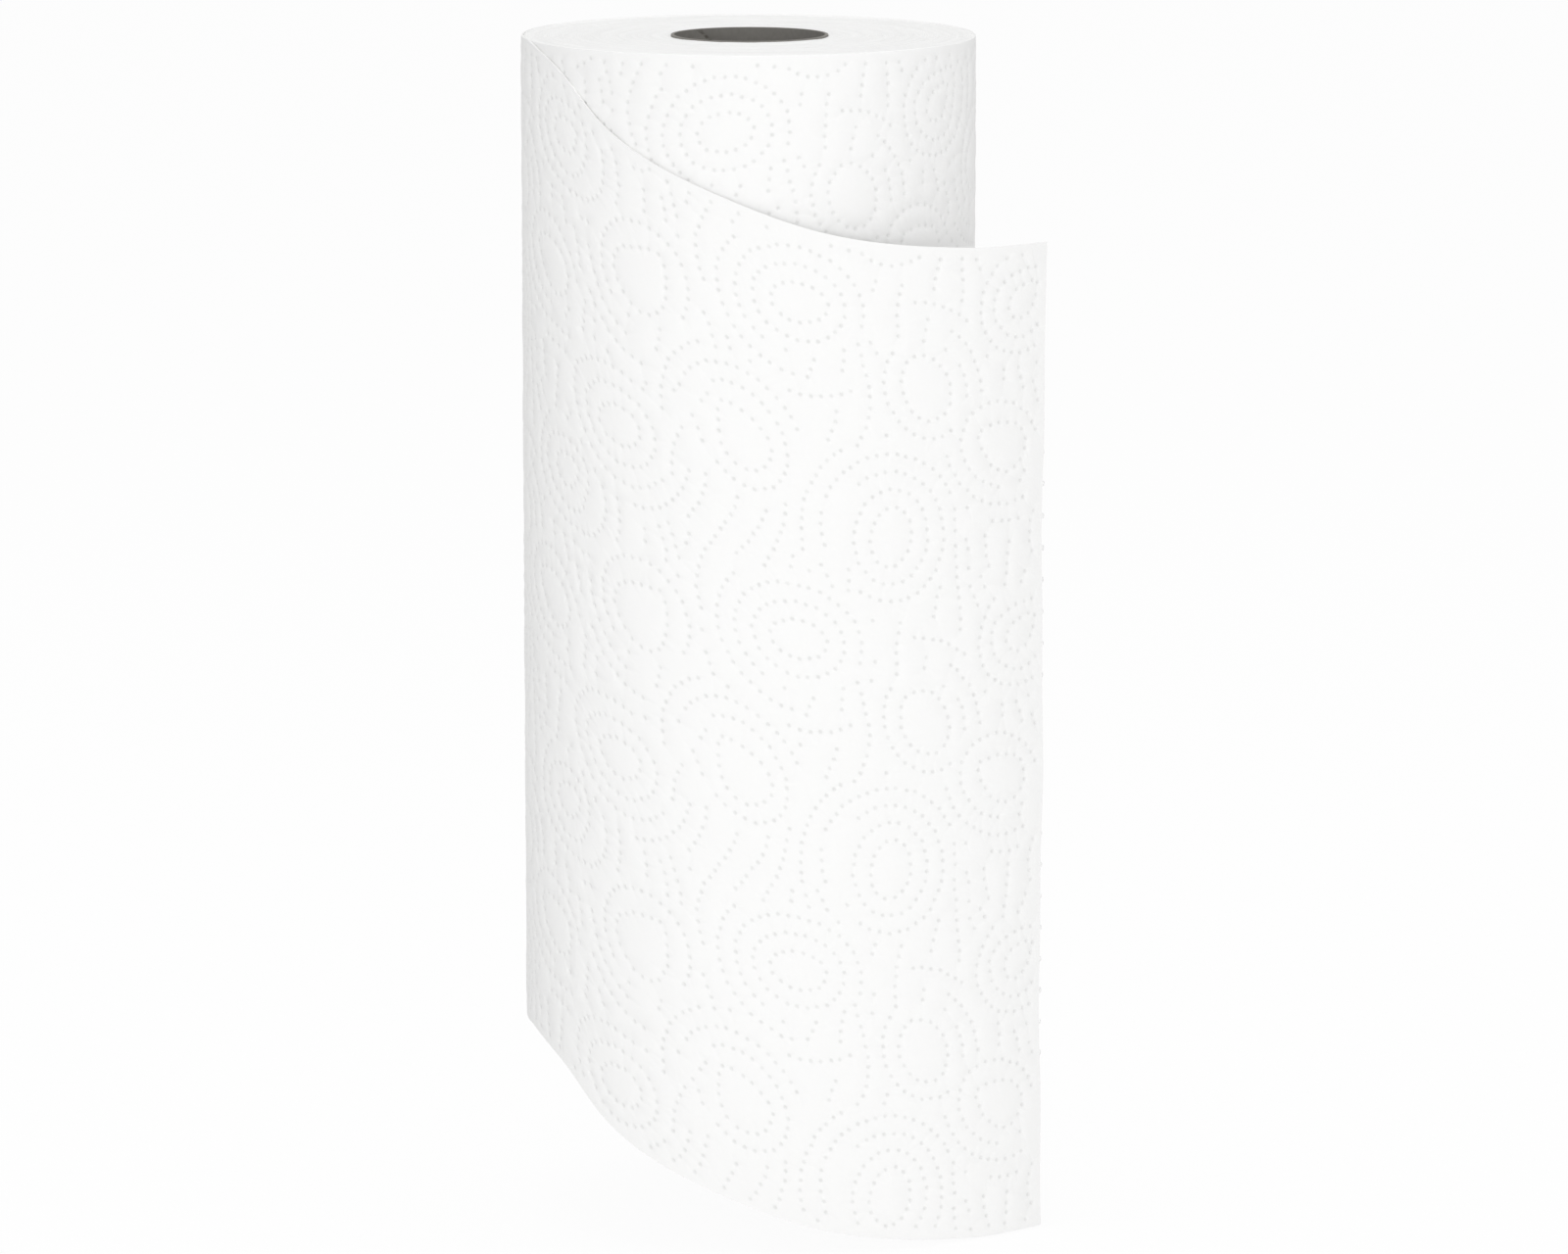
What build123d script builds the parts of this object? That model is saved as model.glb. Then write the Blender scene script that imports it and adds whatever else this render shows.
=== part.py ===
from build123d import *
from math import cos, degrees, radians, sin
import os

# A roll of paper towels held upright by its core, with its last sheet pulled loose.
# Millimetres. The roll turns about Z, and its lower end lies at z = 0.
# The last sheet comes from the left (-X) round the front (-Y), lifts off the roll
# and ends in the air at the right (+X). It has slipped down, so it hangs below the roll.

# Driving dimensions of the roll
web_width = 279.4
sheet_length = 279.4
roll_diameter = 127.0
paper_thickness = 0.6

# Driving dimensions of the core
core_bore_diameter = 42.2
core_wall = 0.9
glue_line = 0.1

# Turns that show on each end of the roll, as one spiral groove
turns_shown = 10
groove_width = 1.0
groove_depth = 0.5

# Loose sheet: how far round from the left it lies on the roll, its free curl and its slip
lift_angle = 82.0
curl_radius = 109.0
curl_length = 98.4
sheet_drop = 54.2

# Line of the slipped edge: share of the roll's radius across, share of the slip down
edge_line = [
    (-0.96, 0.0),
    (-0.82, 0.12),
    (-0.66, 0.335),
    (-0.48, 0.5),
    (-0.12, 0.705),
    (0.3, 0.885),
    (1.0, 1.0),
]

# Perforation at the far end of the loose sheet
slit_length = 7.5
slit_width = 0.4
bond_length = 1.5

# Sizes that follow. The last turn lies on the one below it, so the roll is half a
# thickness larger on the left than on the right.
outer_radius = (roll_diameter + paper_thickness) / 2
under_radius = outer_radius - paper_thickness
back_radius = outer_radius - paper_thickness / 2
back_centre_x = -paper_thickness / 2
core_radius = core_bore_diameter / 2 + core_wall
web_bore_radius = core_radius + glue_line
curl_centre_distance = curl_radius - outer_radius
curl_centre = (
    curl_centre_distance * cos(radians(lift_angle)),
    curl_centre_distance * sin(radians(lift_angle)),
)
loose_length = outer_radius * radians(lift_angle) + curl_length


def upright(plan, height, base=0.0):
    """A wall of constant plan, from the height of its base up."""
    return Pos(0, 0, base) * extrude(plan, amount=height, dir=(0, 0, 1))


def core_tube():
    """The cardboard tube that the paper is wound on."""
    wall = Circle(core_radius) - Circle(core_bore_diameter / 2)
    return upright(wall, web_width)


def wound_turns():
    """All turns below the loose sheet. The back half is the last turn, one layer up."""
    front = CenterArc((0, 0), under_radius, 180, 180)
    back = CenterArc((back_centre_x, 0), back_radius, 0, 180)
    step = Line(back @ 1, front @ 0)
    plan = make_face([front, back, step]) - Circle(web_bore_radius)
    return upright(plan, web_width)


def half_groove(centre_x, radius, start_angle, end_height):
    """Half a turn of the V groove, cut into the end face at the given height."""
    inward = -1 if end_height > 0 else 1
    section = Plane.XZ * Polygon(
        (radius - groove_width / 2, 0),
        (radius + groove_width / 2, 0),
        (radius, inward * groove_depth),
        align=None,
    )
    half_turn = revolve(section, axis=Axis.Z, revolution_arc=180)
    return Pos(centre_x, 0, end_height) * Rot(0, 0, start_angle) * half_turn


def turn_grooves():
    """The spiral of turns on both ends, as half circles about two centres."""
    pitch = (under_radius - web_bore_radius) / (turns_shown + 1)
    grooves = []
    for end_height in (0, web_width):
        for turn in range(turns_shown):
            back_turn_radius = web_bore_radius + (turn + 0.5) * pitch
            front_turn_radius = back_turn_radius + pitch / 2
            grooves.append(half_groove(0, back_turn_radius, 0, end_height))
            grooves.append(half_groove(pitch / 2, front_turn_radius, 180, end_height))
    return grooves


def sheet_wall(centre, radius, start_angle, arc_angle):
    """Plan of one stretch of the sheet. The radius is that of its outer face."""
    outside = CenterArc(centre, radius, start_angle, arc_angle)
    inside = CenterArc(centre, radius - paper_thickness, start_angle, arc_angle)
    near_end = Line(inside @ 0, outside @ 0)
    far_end = Line(outside @ 1, inside @ 1)
    return make_face([outside, far_end, inside, near_end])


def slipped_edge(height):
    """Points of the sheet's upper or lower edge, seen from the front."""
    return [(across * outer_radius, height - down * sheet_drop) for across, down in edge_line]


def sheet_elevation():
    """Front view of the loose sheet, as wide as the sheet can reach."""
    left = -2 * outer_radius
    right = curl_centre[0] + 2 * curl_radius
    upper_points = slipped_edge(web_width)
    lower_points = slipped_edge(0)
    upper = Spline(*upper_points)
    lower = Spline(*lower_points)
    outline = [
        upper,
        Polyline(upper @ 1, (right, upper_points[-1][1]), (right, lower_points[-1][1]), lower @ 1),
        lower,
        Polyline(lower @ 0, (left, 0), (left, web_width), upper @ 0),
    ]
    return Plane.XZ * make_face(outline)


def loose_sheet():
    """The last sheet: an arc on the roll, then a free curl, cut to its slipped edges."""
    on_roll = sheet_wall((0, 0), outer_radius, 180, lift_angle)
    free_curl = sheet_wall(curl_centre, curl_radius, 180 + lift_angle, degrees(curl_length / curl_radius))
    height = web_width + sheet_drop
    wall = upright(on_roll, height, -sheet_drop) + upright(free_curl, height, -sheet_drop)
    depth = 2 * (outer_radius + curl_radius)
    return wall & extrude(sheet_elevation(), amount=depth, both=True)


def perforation_slits():
    """A row of slits through the last turn, one sheet back from the free end."""
    behind_left = sheet_length - loose_length
    angle = 180 - degrees(behind_left / back_radius)
    pitch = slit_length + bond_length
    count = int((web_width - bond_length) / pitch)
    first_height = (web_width - (count - 1) * pitch) / 2
    slit = Box(2 * paper_thickness, slit_width, slit_length)
    line = Pos(back_centre_x, 0, 0) * Rot(0, 0, angle)
    return [line * Pos(back_radius, 0, first_height + row * pitch) * slit for row in range(count)]


def towel_web():
    """The whole web of paper: wound turns and loose sheet in one piece."""
    web = wound_turns() + loose_sheet()
    web = web - turn_grooves()
    return web - perforation_slits()


parts = {
    "core_tube": core_tube(),
    "towel_web": towel_web(),
}

os.makedirs("parts", exist_ok=True)
for name, shape in parts.items():
    shape.label = name
    export_step(shape, f"parts/{name}.step")
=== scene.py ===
# A roll of embossed paper towels held upright by its core, with its last sheet pulled loose.
# Metres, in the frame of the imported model: the roll turns about Z and its lower end lies at z = 0.

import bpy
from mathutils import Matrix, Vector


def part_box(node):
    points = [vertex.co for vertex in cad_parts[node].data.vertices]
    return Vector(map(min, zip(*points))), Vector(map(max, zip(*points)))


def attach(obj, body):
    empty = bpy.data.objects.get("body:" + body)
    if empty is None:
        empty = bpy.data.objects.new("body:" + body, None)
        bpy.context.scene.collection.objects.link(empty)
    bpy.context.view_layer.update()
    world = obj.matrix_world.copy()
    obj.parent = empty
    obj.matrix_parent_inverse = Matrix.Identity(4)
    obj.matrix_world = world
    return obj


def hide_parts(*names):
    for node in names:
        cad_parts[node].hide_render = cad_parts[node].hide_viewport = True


bl_info = {
    "name": "Paper Towel Roll",
    "version": (1, 0, 0),
    "blender": (4, 5, 0),
    "location": "View3D > Sidebar > Towel Roll",
    "description": "Builds a roll of embossed paper towels with its last sheet pulled loose",
    "category": "Object",
}

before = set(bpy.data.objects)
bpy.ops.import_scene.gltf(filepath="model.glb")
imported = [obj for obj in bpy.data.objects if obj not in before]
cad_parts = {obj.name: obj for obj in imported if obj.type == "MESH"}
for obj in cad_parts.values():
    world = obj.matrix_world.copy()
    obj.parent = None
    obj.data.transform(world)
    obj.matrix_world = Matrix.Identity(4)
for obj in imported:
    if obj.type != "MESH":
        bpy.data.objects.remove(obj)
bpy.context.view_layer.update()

from math import atan2, ceil, cos, hypot, pi, radians, sin

import bmesh
import bpy
import numpy as np
from bpy.props import FloatProperty, FloatVectorProperty, IntProperty, PointerProperty
from mathutils import Vector
from mathutils.geometry import delaunay_2d_cdt
from mathutils.kdtree import KDTree

CORE_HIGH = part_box("core_tube")[1]
WEB_LOW, WEB_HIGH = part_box("towel_web")

MM = 0.001
WEB_WIDTH = CORE_HIGH.z
SHEET_DROP = -WEB_LOW.z
OUTER_RADIUS = -WEB_LOW.x
BACK_RADIUS = WEB_HIGH.y
CORE_RADIUS = CORE_HIGH.x
THICKNESS = 2 * (OUTER_RADIUS - BACK_RADIUS)
UNDER_RADIUS = OUTER_RADIUS - THICKNESS
BACK_CENTRE_X = -THICKNESS / 2

# Steps between points on a flat wall: round its border, up its border and within it
BORDER_STEP = 3.0 * MM
ROW_STEP = 5.0 * MM
LATTICE_STEP = 5.0 * MM

# Plain band inside the border of a flat wall
EDGE_GUARD = 1.1 * MM

# How steep an edge may be and still look smooth, and how near to each other places are joined
SMOOTH_LIMIT = radians(45)
WELD_DISTANCE = 1e-6

# Points of a dot, its middle first: share of its radius, count and share of the depth
DOT_RINGS = [(0.0, 1, 1.0), (0.48, 4, 0.72), (1.0, 6, 0.0)]

# Angle by which the rings of each dot are turned past those of the one before
RING_TURN = 0.7

# How far dots stray from their line, how shallow the faintest one is, and the seeds of both
DOT_STRAY = 0.22 * MM
FAINTEST_DOT = 0.65
STRAY_SEED = 5
DEPTH_SEED = 8

# Distances that dots keep: in radii from the plain band, in line spacings from other lines
BAND_CLEARANCE = 1.6
LINE_CLEARANCE = 0.75

# The swell between dots: radii and plain bands that it stays clear of, and where it fades out
SWELL_CLEARANCE = 1.5
SWELL_FADE = 4.0 * MM

# Line of the slipped edge: share of the roll's radius across, share of the slip down
EDGE_LINE = [
    (-0.96, 0.0),
    (-0.82, 0.12),
    (-0.66, 0.335),
    (-0.48, 0.5),
    (-0.12, 0.705),
    (0.3, 0.885),
    (1.0, 1.0),
]
EDGE_POINTS = 400

# Leaves in one repeat of the pattern: share across, share up, tilt, size and whether it is pointed
LEAVES = [
    (0.086, 0.150, 0.5, 1.15, 0.0),
    (0.344, 0.320, 2.2, 0.85, 1.0),
    (0.644, 0.130, 1.3, 1.25, 0.0),
    (0.888, 0.410, 2.7, 0.8, 1.0),
    (0.143, 0.645, 1.0, 0.95, 1.0),
    (0.458, 0.774, 0.2, 1.2, 0.0),
    (0.716, 0.580, 1.9, 0.85, 0.0),
    (0.945, 0.840, 0.8, 1.05, 1.0),
]

# Repeats along a sheet and up the web, the size of a leaf, its points and how it narrows at a tip
REPEATS_ALONG = 2
REPEATS_UP = 3
LEAF_LENGTH = 21.5 * MM
LEAF_WIDTH = 17.0 * MM
LEAF_POINTS = 120
POINTEDNESS = 0.8
POINTED_WIDENING = 0.3

# Outlines of each leaf: twice the line spacings outwards, where it starts and the share that is drawn
ECHOES = [(-1, 0.0, 1.0), (0, 0.0, 1.0), (1, 0.9, 0.7), (2, 3.6, 0.35), (3, 5.2, 0.2)]

# Streams between the leaves: step along them, swing, its overtone, turns of phase and clear distance
STREAM_STEP = 0.5 * MM
STREAM_SWING = 6.0 * MM
STREAM_OVERTONE = 0.3
STREAM_TURNS = 3
STREAM_CLEARANCE = 0.45 * LEAF_LENGTH

# Streaks on the ends: how fine, how long, how far the turns sink on the whole and how much painted shade a
# turn gets where it sinks
STREAK_FINENESS = 1100.0
STREAK_SHORTNESS = 1.6
TURNS_SINK = 0.12
SUNK_SHADE = 1.3

# Sway of the free sheet, the height of its waves and the length over which it sets in
LONG_SWAY = 0.45 * MM
LONG_WAVE = 120 * MM
SHORT_SWAY = 0.18 * MM
SHORT_WAVE = 47 * MM
FREE_START = 10 * MM

# How far the slipped edges stand off the roll, the band that does, and how late it sets in
TOP_LIFT = 0.8 * MM
BOTTOM_LIFT = 0.5 * MM
LIFT_BAND = 16 * MM
LOOSENING = 2.5

# Lines of a seam in the board: shares of its width from its middle, and of its depth
SEAM_LINES = [(-1.6, 0.0), (-0.5, 1.0), (0.5, 1.0), (1.6, 0.0)]
SEAM_CLEARANCE = 1.5 * MM

# The camera, as worked out from the photograph's ellipses and edges
CAMERA_LENS = 168.38
CAMERA_SENSOR = 36.0
CAMERA_PLACE = (0.009633, -2.04696, 0.46736)
CAMERA_TILT = radians(9.87)

# Share of the floor's look that is a plain white page to the camera
PAGE_SHARE = 0.94


# Sizes, finishes and lights that a user would change


class RollSizes(bpy.types.PropertyGroup):
    """Sizes of the roll, its loose sheet and its perforation."""

    sheet_length: FloatProperty(
        name="Sheet Length",
        description="Length of one sheet, from perforation to perforation",
        default=0.2794,
        unit="LENGTH",
    )
    lift_angle: FloatProperty(
        name="Lift Angle",
        description="How far round from the left the last sheet lies on the roll",
        default=radians(82.0),
        subtype="ANGLE",
    )
    curl_radius: FloatProperty(
        name="Curl Radius",
        description="Radius of the free part of the last sheet",
        default=0.109,
        unit="LENGTH",
    )
    curl_length: FloatProperty(
        name="Curl Length",
        description="Length of the free part of the last sheet",
        default=0.0984,
        unit="LENGTH",
    )
    slit_length: FloatProperty(
        name="Slit Length",
        description="Length of each cut of the perforation",
        default=0.0075,
        unit="LENGTH",
    )
    slit_width: FloatProperty(
        name="Slit Width",
        description="Gap that each cut of the perforation leaves",
        default=0.0004,
        unit="LENGTH",
    )
    bond_length: FloatProperty(
        name="Bond Length",
        description="Length of paper left between two cuts",
        default=0.0015,
        unit="LENGTH",
    )
    turns: IntProperty(
        name="Turns",
        description="Turns of paper that show on each end of the roll",
        default=67,
        min=10,
    )
    edge_height: FloatProperty(
        name="Edge Height",
        description="How far the rounded edge of each turn stands up",
        default=0.0005,
        unit="LENGTH",
    )


class EmbossSizes(bpy.types.PropertyGroup):
    """Sizes of the dots pressed into the paper."""

    dot_radius: FloatProperty(
        name="Dot Radius",
        description="Radius of one pressed dot",
        default=0.0008,
        unit="LENGTH",
    )
    dot_depth: FloatProperty(
        name="Dot Depth",
        description="How deep a dot is pressed into the paper",
        default=0.0004,
        unit="LENGTH",
    )
    dot_spacing: FloatProperty(
        name="Dot Spacing",
        description="Distance between two dots of one line",
        default=0.0029,
        unit="LENGTH",
    )
    line_spacing: FloatProperty(
        name="Line Spacing",
        description="Distance between two lines of dots",
        default=0.0049,
        unit="LENGTH",
    )
    puff: FloatProperty(
        name="Puff",
        description="How far the paper swells between the dots",
        default=0.0002,
        unit="LENGTH",
    )


class RollFinishes(bpy.types.PropertyGroup):
    """Colours of the paper, the board and the floor."""

    paper: FloatVectorProperty(
        name="Paper",
        description="Colour of the towel paper",
        default=(0.93, 0.93, 0.925),
        size=3,
        subtype="COLOR",
    )
    # Darker paper colour: partly the denser fibres of a pressed dot, partly painted shade in the pits, on
    # turns that sink and in the groove between the plies
    pressed_and_painted_shade: FloatVectorProperty(
        name="Pressed Paper",
        description="Colour of the paper where a dot is pressed into it",
        default=(0.76, 0.76, 0.755),
        size=3,
        subtype="COLOR",
    )
    # Grey of the core's board, set darker than the real board's, partly as painted shade for the inside of
    # the core
    board: FloatVectorProperty(
        name="Board",
        description="Colour of the core's grey board",
        default=(0.25, 0.24, 0.222),
        size=3,
        subtype="COLOR",
    )
    seam: FloatVectorProperty(
        name="Seam",
        description="Colour of the seam between two turns of the board",
        default=(0.12, 0.11, 0.095),
        size=3,
        subtype="COLOR",
    )
    floor: FloatVectorProperty(
        name="Floor",
        description="Colour of the floor",
        default=(0.95, 0.95, 0.95),
        size=3,
        subtype="COLOR",
    )


class StudioLights(bpy.types.PropertyGroup):
    """Power of the soft lamps and the room."""

    front: FloatProperty(
        name="Front",
        description="Power of the wide lamp in front",
        default=23.0,
        unit="POWER",
    )
    top: FloatProperty(
        name="Top",
        description="Power of the wide lamp above",
        default=6.6,
        unit="POWER",
    )
    room: FloatProperty(
        name="Room",
        description="Brightness of the room all round",
        default=0.665,
    )


# Plan of the paper, seen from above


def perforation_angle(sizes):
    """Angle about the back centre at which the last sheet begins."""
    return pi - back_run(sizes) / BACK_RADIUS


def roll_run(sizes):
    """Length of the last sheet that lies on the front of the roll."""
    return OUTER_RADIUS * sizes.lift_angle


def back_run(sizes):
    """Length of the last sheet that lies on the back of the roll."""
    return sizes.sheet_length - roll_run(sizes) - sizes.curl_length


def on_arc(centre, radius, angle):
    """Places and outward directions on an arc."""
    outward = np.stack([np.cos(angle), np.sin(angle)], axis=1)
    return np.asarray(centre) + radius * outward, outward


def sheet_plan(sizes, along):
    """Outer face of the last sheet at lengths from its perforation: places and outward directions."""
    on_roll = along - back_run(sizes)
    on_curl = on_roll - roll_run(sizes)
    lean = np.array([cos(sizes.lift_angle), sin(sizes.lift_angle)])
    back = on_arc((BACK_CENTRE_X, 0), BACK_RADIUS, pi + on_roll / BACK_RADIUS)
    front = on_arc((0, 0), OUTER_RADIUS, pi + on_roll / OUTER_RADIUS)
    curl = on_arc(
        (sizes.curl_radius - OUTER_RADIUS) * lean,
        sizes.curl_radius,
        pi + sizes.lift_angle + on_curl / sizes.curl_radius,
    )
    free = (on_curl > 0)[:, None]
    behind = (on_roll < 0)[:, None]
    return tuple(np.where(free, c, np.where(behind, b, f)) for b, f, c in zip(back, front, curl))


def wound_plan(sizes, along):
    """Outer face of the turn under the last sheet, at lengths back from the perforation, clockwise."""
    right_run = BACK_RADIUS * perforation_angle(sizes)
    front_run = pi * UNDER_RADIUS
    on_front = along - right_run
    on_left = on_front - front_run
    right = on_arc((BACK_CENTRE_X, 0), BACK_RADIUS, -on_front / BACK_RADIUS)
    front = on_arc((0, 0), UNDER_RADIUS, -on_front / UNDER_RADIUS)
    covered_radius = BACK_RADIUS - THICKNESS
    left = on_arc((BACK_CENTRE_X, 0), covered_radius, pi - on_left / covered_radius)
    past_front = (on_left > 0)[:, None]
    before_front = (on_front < 0)[:, None]
    return tuple(
        np.where(past_front, behind, np.where(before_front, beside, ahead))
        for beside, ahead, behind in zip(right, front, left)
    )


def wound_run(sizes):
    """Length of the turn under the last sheet."""
    right_run = BACK_RADIUS * perforation_angle(sizes)
    left_run = (BACK_RADIUS - THICKNESS) * (pi - perforation_angle(sizes))
    return right_run + pi * UNDER_RADIUS + left_run


def slipped_edge():
    """The slipped edge as places across and down: a natural cubic through the edge line."""
    points = np.array(EDGE_LINE) * (OUTER_RADIUS, SHEET_DROP)
    steps = np.hypot(*np.diff(points, axis=0).T)
    knots = np.concatenate([[0], np.cumsum(steps)])
    last = len(points) - 1
    matrix = np.eye(last + 1)
    slopes = np.zeros((last + 1, 2))
    for i in range(1, last):
        matrix[i, i - 1 : i + 2] = steps[i - 1], 2 * (steps[i - 1] + steps[i]), steps[i]
        after = (points[i + 1] - points[i]) / steps[i]
        before = (points[i] - points[i - 1]) / steps[i - 1]
        slopes[i] = 6 * (after - before)
    bend = np.linalg.solve(matrix, slopes)
    at = np.linspace(0, knots[-1], EDGE_POINTS)
    i = np.clip(np.searchsorted(knots, at) - 1, 0, last - 1)
    span = steps[i][:, None]
    ahead = (knots[i + 1] - at)[:, None]
    past = (at - knots[i])[:, None]
    curve = (bend[i] * ahead**3 + bend[i + 1] * past**3) / (6 * span)
    curve += (points[i] / span - bend[i] * span / 6) * ahead
    return curve + (points[i + 1] / span - bend[i + 1] * span / 6) * past


def drop_at(sizes, along):
    """How far the last sheet has slipped down, at lengths from its perforation."""
    places, _ = sheet_plan(sizes, along)
    edge = slipped_edge()
    down = np.interp(places[:, 0], edge[:, 0], edge[:, 1])
    return np.where(along > back_run(sizes), down, 0.0)


# Pattern of pressed dots


def even_points(path, spacing, closed):
    """Points at an even distance along a path."""
    steps = np.hypot(*np.diff(path, axis=0).T)
    lengths = np.concatenate([[0], np.cumsum(steps)])
    count = max(3, round(lengths[-1] / spacing))
    at = np.linspace(0, lengths[-1], count + 1)
    if closed:
        at = at[:-1]
    return np.stack([np.interp(at, lengths, path[:, k]) for k in (0, 1)], axis=1)


def leaf_path(length, width, tilt, pointed):
    """A closed leaf about its middle: an oval, or a teardrop where pointed is 1."""
    turn = np.linspace(0, 2 * pi, LEAF_POINTS + 1)
    across = width / 2 * np.sin(turn) * (1 - pointed + pointed * np.sin(turn / 2))
    across *= 1 + POINTED_WIDENING * pointed
    along = length / 2 * np.cos(turn)
    return np.stack([along * cos(tilt) - across * sin(tilt), along * sin(tilt) + across * cos(tilt)], axis=1)


def stream_path(tile_height, phase):
    """A wavy line that runs across the web, from edge to edge."""
    height = np.arange(0.0, WEB_WIDTH, STREAM_STEP)
    across = STREAM_SWING * np.sin(2 * pi * height / tile_height + phase)
    across += STREAM_OVERTONE * STREAM_SWING * np.sin(4 * pi * height / tile_height - phase)
    return np.stack([across, height], axis=1)


def pattern_lines(sizes, emboss, start, end):
    """Lines of dots on a stretch of the web: leaves, arcs that echo them, then streams that fill the rest."""
    tile_length = sizes.sheet_length / REPEATS_ALONG
    tile_height = WEB_WIDTH / REPEATS_UP
    columns = range(int(start // tile_length) - 1, int(end // tile_length) + 2)
    leaves = [
        ((column + across) * tile_length, (row + up) * tile_height, number, tilt, size, pointed)
        for column in columns
        for row in range(-1, REPEATS_UP + 1)
        for number, (across, up, tilt, size, pointed) in enumerate(LEAVES)
    ]
    lines = []
    for ring, turned, share in ECHOES:
        grown = 2 * ring * emboss.line_spacing
        for x, y, number, tilt, size, pointed in leaves:
            # A small leaf has no room for an outline inside its own.
            if ring < 0 and size < 1.0:
                continue
            sharpness = POINTEDNESS * pointed if ring < 1 else 0.0
            path = leaf_path(size * LEAF_LENGTH + grown, size * LEAF_WIDTH + grown, tilt, sharpness) + (x, y)
            first = int(LEAF_POINTS * ((turned + number) % (2 * pi)) / (2 * pi))
            path = np.roll(path[:-1], -first, axis=0)[: int(LEAF_POINTS * share)]
            closed = share == 1.0
            path = np.vstack([path, path[:1]]) if closed else path
            lines.append(even_points(path, emboss.dot_spacing, closed))
    tree = near_tree(leaves)
    streams = round(tile_length / emboss.line_spacing)
    for column in columns:
        for stream in range(streams):
            share = stream / streams
            path = stream_path(tile_height, 2 * pi * STREAM_TURNS * share)
            path[:, 0] += (column + share) * tile_length
            line = even_points(path, emboss.dot_spacing, False)
            lines.append([dot for dot in line if tree.find((*dot, 0))[2] > STREAM_CLEARANCE])
    return lines


def pressed_dots(sizes, emboss, start, end):
    """Middles of the dots on a stretch of the web, as lengths from the perforation and heights."""
    margin = EDGE_GUARD + BAND_CLEARANCE * emboss.dot_radius
    clear = LINE_CLEARANCE * emboss.line_spacing
    kept = []
    cells = {}
    for number, line in enumerate(pattern_lines(sizes, emboss, start, end)):
        for along, up in line:
            if not (start + margin < along < end - margin and margin < up < WEB_WIDTH - margin):
                continue
            column, row = int(along // clear), int(up // clear)
            near = [
                dot
                for i in (-1, 0, 1)
                for j in (-1, 0, 1)
                for dot in cells.get((column + i, row + j), ())
            ]
            if any(other != number and hypot(x - along, y - up) < clear for x, y, other in near):
                continue
            cells.setdefault((column, row), []).append((along, up, number))
            kept.append((along, up))
    chance = np.random.default_rng(STRAY_SEED)
    return np.array(kept) + chance.uniform(-DOT_STRAY, DOT_STRAY, (len(kept), 2))


# Flat patterns and meshes


def flat_border(run, height):
    """Places round a flat run x height from its lower left, and how many steps it has along and up."""
    columns = ceil(run / BORDER_STEP)
    rows = ceil(height / ROW_STEP)
    x = np.linspace(0, run, columns + 1)
    y = np.linspace(0, height, rows + 1)
    border = [(a, 0) for a in x[:-1]] + [(run, b) for b in y[:-1]]
    border += [(a, height) for a in x[:0:-1]] + [(0, b) for b in y[:0:-1]]
    return np.array(border), columns, rows


def triangles_between(places):
    """Triangles that join flat places."""
    flat = [Vector((a / MM, b / MM)) for a, b in places]
    return [tuple(face) for face in delaunay_2d_cdt(flat, [], [], 0, 1e-7, False)[2]]


def near_tree(points):
    """A search tree over flat points."""
    tree = KDTree(len(points))
    for number, point in enumerate(points):
        tree.insert((point[0], point[1], 0), number)
    tree.balance()
    return tree


def flat_pattern(run, height, dots, emboss):
    """A flat run x height with rings of points at each dot.

    Returns the places in metres, the depth at each as a share and the triangles. The border's places
    come first. A depth below 0 is paper that swells out between the dots."""
    border, _, _ = flat_border(run, height)
    guard = np.clip(border, EDGE_GUARD, np.array([run, height]) - EDGE_GUARD)
    places = border.tolist() + np.unique(guard.round(7), axis=0).tolist()
    depths = [0.0] * len(places)
    tree = near_tree(dots)
    radius = emboss.dot_radius
    across = np.linspace(0, run, ceil(run / LATTICE_STEP) + 1)[1:-1]
    up = np.linspace(0, height, ceil(height / LATTICE_STEP) + 1)
    for i, a in enumerate(across):
        for b in up[1:-1] + (i % 2 - 0.5) * 0.5 * up[1]:
            away = tree.find((a, b, 0))[2]
            inside = min(a, run - a, b, height - b) - EDGE_GUARD
            if away > SWELL_CLEARANCE * radius and inside > SWELL_CLEARANCE * EDGE_GUARD:
                places.append((a, b))
                depths.append(-min(1.0, (away - radius) / (2 * radius), inside / SWELL_FADE))
    strengths = np.random.default_rng(DEPTH_SEED).uniform(FAINTEST_DOT, 1.0, len(dots))
    for number, ((a, b), strength) in enumerate(zip(dots, strengths)):
        for share, count, depth in DOT_RINGS:
            for k in range(count):
                angle = RING_TURN * number + 2 * pi * k / count
                places.append((a + share * radius * cos(angle), b + share * radius * sin(angle)))
                depths.append(depth * strength)
    return np.array(places), np.array(depths), triangles_between(places)


def new_object(name, data):
    """An object with this data, linked to the scene."""
    made = bpy.data.objects.new(name, data)
    bpy.context.collection.objects.link(made)
    return made


def finished_object(name, places, faces, pressed_and_painted_shade, material, weld=False):
    """A smooth mesh object at the origin, with its faces turned outwards and its seam joined if asked."""
    mesh = bpy.data.meshes.new(name)
    mesh.from_pydata([tuple(p) for p in places], [], [tuple(int(i) for i in face) for face in faces])
    # Share of the darker colour at each place: for pressed paper with painted shade, for painted shade alone,
    # or for a seam in the board
    share = mesh.attributes.new("pressed_and_painted_shade", "FLOAT", "POINT")
    share.data.foreach_set("value", np.asarray(pressed_and_painted_shade, dtype=np.float32))
    work = bmesh.new()
    work.from_mesh(mesh)
    if weld:
        bmesh.ops.remove_doubles(work, verts=work.verts, dist=WELD_DISTANCE)
    bmesh.ops.recalc_face_normals(work, faces=work.faces)
    work.to_mesh(mesh)
    work.free()
    mesh.shade_smooth()
    mesh.set_sharp_from_angle(angle=SMOOTH_LIMIT)
    mesh.materials.append(material)
    return new_object(name, mesh)


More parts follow.
